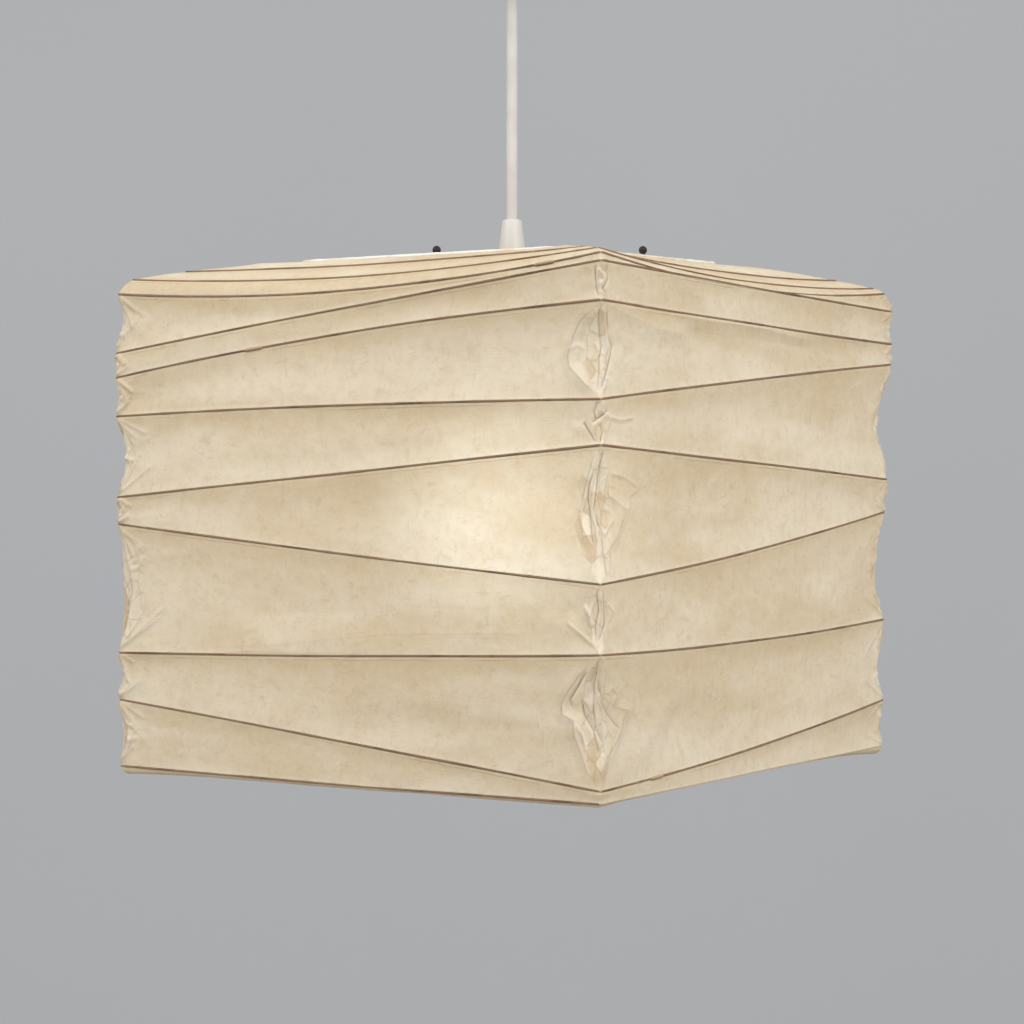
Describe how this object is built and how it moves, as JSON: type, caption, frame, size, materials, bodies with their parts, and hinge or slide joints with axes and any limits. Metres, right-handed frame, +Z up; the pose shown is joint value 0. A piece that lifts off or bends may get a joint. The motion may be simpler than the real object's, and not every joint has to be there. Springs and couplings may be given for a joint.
{
  "type": "paper ceiling lamp",
  "caption": "Square box lantern of hand-made paper on slanting bamboo ribs, hung by a white cord from a ceiling canopy, with a bulb inside; the shade folds up flat.",
  "frame": {"origin": "on the ceiling plane, on the lamp's axis, where the ceiling bar's top face rests", "axes": "+Z up into the ceiling; the shade's sides lie along X and Y"},
  "size_m": [0.3014, 0.3014, 0.4844],
  "materials": {
    "shade_paper": "translucent hand-made paper",
    "bamboo": "split bamboo under paste",
    "rim_steel": "bright wire",
    "rim_binding": "white paper strip",
    "carrier_steel": "black enamel on wire",
    "tip_plastic": "moulded ball",
    "white_plastic": "satin moulding",
    "white_cord": "round sheath",
    "core_insulation": "core insulation",
    "ceramic": "glazed",
    "brass": "pressed",
    "plated_steel": "zinc plated",
    "bulb_glass": "opal",
    "bulb_shell": "rolled thread",
    "black_glass": "insulator"
  },
  "bodies": {
    "ceiling": {"ceiling_bar": "plated_steel", "canopy_cup": "white_plastic", "canopy_screws": "plated_steel", "canopy_bush": "white_plastic", "bush_grub_screw": "plated_steel", "bush_nut": "plated_steel", "terminal_block": "white_plastic", "terminal_screws": "brass", "cord_tail": "white_cord", "canopy_leads": "core_insulation"},
    "cord_bend": {"cord_bend": "white_cord"},
    "pendant": {"pendant_cord": "white_cord", "cord_grip": "white_plastic", "holder_cap": "white_plastic", "holder_insert": "ceramic", "holder_leads": "core_insulation", "centre_contact": "brass", "screw_sleeve": "brass", "holder_skirt": "white_plastic", "clamp_ring": "white_plastic", "carrier_ring": "carrier_steel", "carrier_arm_front": "carrier_steel", "carrier_arm_right": "carrier_steel", "carrier_arm_back": "carrier_steel", "carrier_arm_left": "carrier_steel", "carrier_tips": "tip_plastic", "top_rim_wire": "rim_steel", "top_rim_binding": "rim_binding", "rib_top_inner": "bamboo", "rib_top_outer": "bamboo", "paper_top_inner": "shade_paper", "paper_top_middle": "shade_paper", "paper_top_edge": "shade_paper"},
    "bulb": {"bulb_contact": "brass", "bulb_insulator": "black_glass", "bulb_shell": "bulb_shell", "bulb_glass": "bulb_glass"},
    "shade_1": {"rib_1": "bamboo", "paper_side_1": "shade_paper"},
    "shade_2": {"rib_2": "bamboo", "paper_side_2": "shade_paper"},
    "shade_3": {"rib_3": "bamboo", "paper_side_3": "shade_paper"},
    "shade_4": {"rib_4": "bamboo", "paper_side_4": "shade_paper"},
    "shade_5": {"rib_5": "bamboo", "paper_side_5": "shade_paper"},
    "shade_6": {"rib_6": "bamboo", "paper_side_6": "shade_paper"},
    "shade_7": {"rib_7": "bamboo", "paper_side_7": "shade_paper"},
    "shade_8": {"rib_8": "bamboo", "paper_side_8": "shade_paper"},
    "shade_foot": {"rib_9": "bamboo", "paper_base_outer": "shade_paper", "rib_base": "bamboo", "paper_base_inner": "shade_paper", "bottom_rim_wire": "rim_steel", "bottom_rim_binding": "rim_binding"}
  },
  "joints": [
    {"name": "sway_x", "type": "hinge", "parent": "ceiling", "child": "cord_bend", "pos_m": [0, 0, -0.056], "axis": [1, 0, 0], "range_deg": [-15, 15]},
    {"name": "sway_y", "type": "hinge", "parent": "cord_bend", "child": "pendant", "pos_m": [0, 0, -0.056], "axis": [0, 1, 0], "range_deg": [-15, 15]},
    {"name": "shade_fold", "type": "slide", "parent": "pendant", "child": "shade_foot", "axis": [0, 0, 1], "range_m": [0, 0.236], "deforming": ["rib_top_inner", "rib_top_outer", "paper_top_inner", "paper_top_middle", "paper_top_edge", "rib_9", "rib_base", "paper_base_outer", "paper_base_inner"]},
    {"name": "fold_1", "type": "slide", "parent": "pendant", "child": "shade_1", "axis": [0, 0, 1], "range_m": [0, 0.01373], "deforming": ["rib_1", "paper_side_1"]},
    {"name": "fold_2", "type": "slide", "parent": "pendant", "child": "shade_2", "axis": [0, 0, 1], "range_m": [0, 0.02595], "deforming": ["rib_2", "paper_side_2"]},
    {"name": "fold_3", "type": "slide", "parent": "pendant", "child": "shade_3", "axis": [0, 0, 1], "range_m": [0, 0.04226], "deforming": ["rib_3", "paper_side_3"]},
    {"name": "fold_4", "type": "slide", "parent": "pendant", "child": "shade_4", "axis": [0, 0, 1], "range_m": [0, 0.06249], "deforming": ["rib_4", "paper_side_4"]},
    {"name": "fold_5", "type": "slide", "parent": "pendant", "child": "shade_5", "axis": [0, 0, 1], "range_m": [0, 0.09954], "deforming": ["rib_5", "paper_side_5"]},
    {"name": "fold_6", "type": "slide", "parent": "pendant", "child": "shade_6", "axis": [0, 0, 1], "range_m": [0, 0.12594], "deforming": ["rib_6", "paper_side_6"]},
    {"name": "fold_7", "type": "slide", "parent": "pendant", "child": "shade_7", "axis": [0, 0, 1], "range_m": [0, 0.16703], "deforming": ["rib_7", "paper_side_7"]},
    {"name": "fold_8", "type": "slide", "parent": "pendant", "child": "shade_8", "axis": [0, 0, 1], "range_m": [0, 0.20419], "deforming": ["rib_8", "paper_side_8"]},
    {"name": "bulb_out", "type": "slide", "parent": "pendant", "child": "bulb", "axis": [0, 0, 1], "range_m": [-0.24, 0]}
  ],
  "couplings": [
    {"joint": "fold_1", "follows": "shade_fold", "ratio": 0.0581},
    {"joint": "fold_2", "follows": "shade_fold", "ratio": 0.10989},
    {"joint": "fold_3", "follows": "shade_fold", "ratio": 0.179},
    {"joint": "fold_4", "follows": "shade_fold", "ratio": 0.26471},
    {"joint": "fold_5", "follows": "shade_fold", "ratio": 0.42169},
    {"joint": "fold_6", "follows": "shade_fold", "ratio": 0.53356},
    {"joint": "fold_7", "follows": "shade_fold", "ratio": 0.70769},
    {"joint": "fold_8", "follows": "shade_fold", "ratio": 0.86512}
  ]
}
